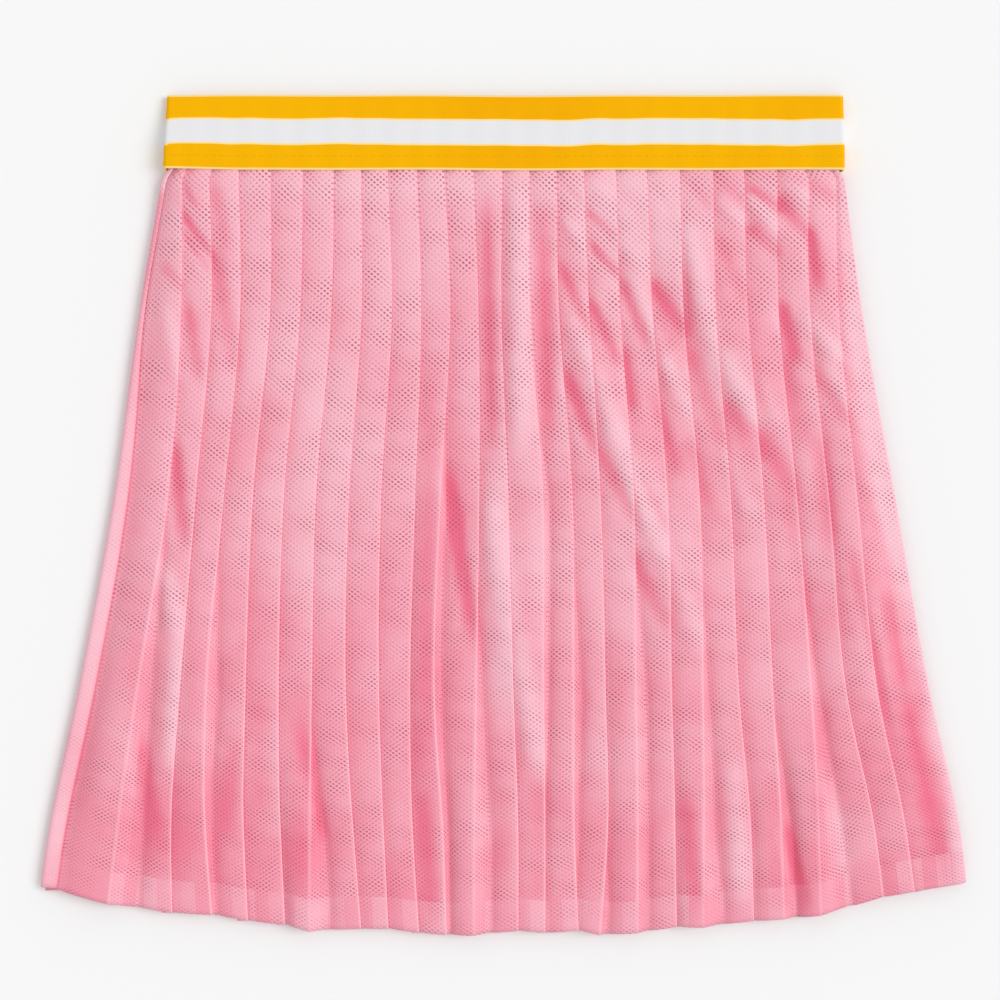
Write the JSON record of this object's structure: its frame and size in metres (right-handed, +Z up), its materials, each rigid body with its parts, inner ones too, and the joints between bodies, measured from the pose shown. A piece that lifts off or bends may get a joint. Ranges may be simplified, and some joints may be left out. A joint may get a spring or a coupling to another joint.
{
  "type": "pleated skort",
  "caption": "Knife-pleated skort of open mesh with a broad striped elastic waistband and plain inner shorts, laid flat front side up.",
  "frame": {"origin": "under the middle of the whole skort, on the surface it lies on", "axes": "+X to the viewer's right across the skort, +Y from the hem towards the waistband, +Z up from the surface towards the front of the skirt"},
  "size_m": [0.466, 0.42, 0.013],
  "materials": {
    "striped_elastic": "woven rib elastic in yellow and white stripes with thin pale lines between them",
    "pink_mesh": "soft warp-knit sports mesh with small staggered round holes",
    "pink_jersey": "plain fine matt jersey"
  },
  "bodies": {
    "root": {"waistband": "striped_elastic", "skirt_front": "pink_mesh", "skirt_back": "pink_mesh", "shorts_left_leg": "pink_jersey", "shorts_right_leg": "pink_jersey"}
  },
  "joints": []
}
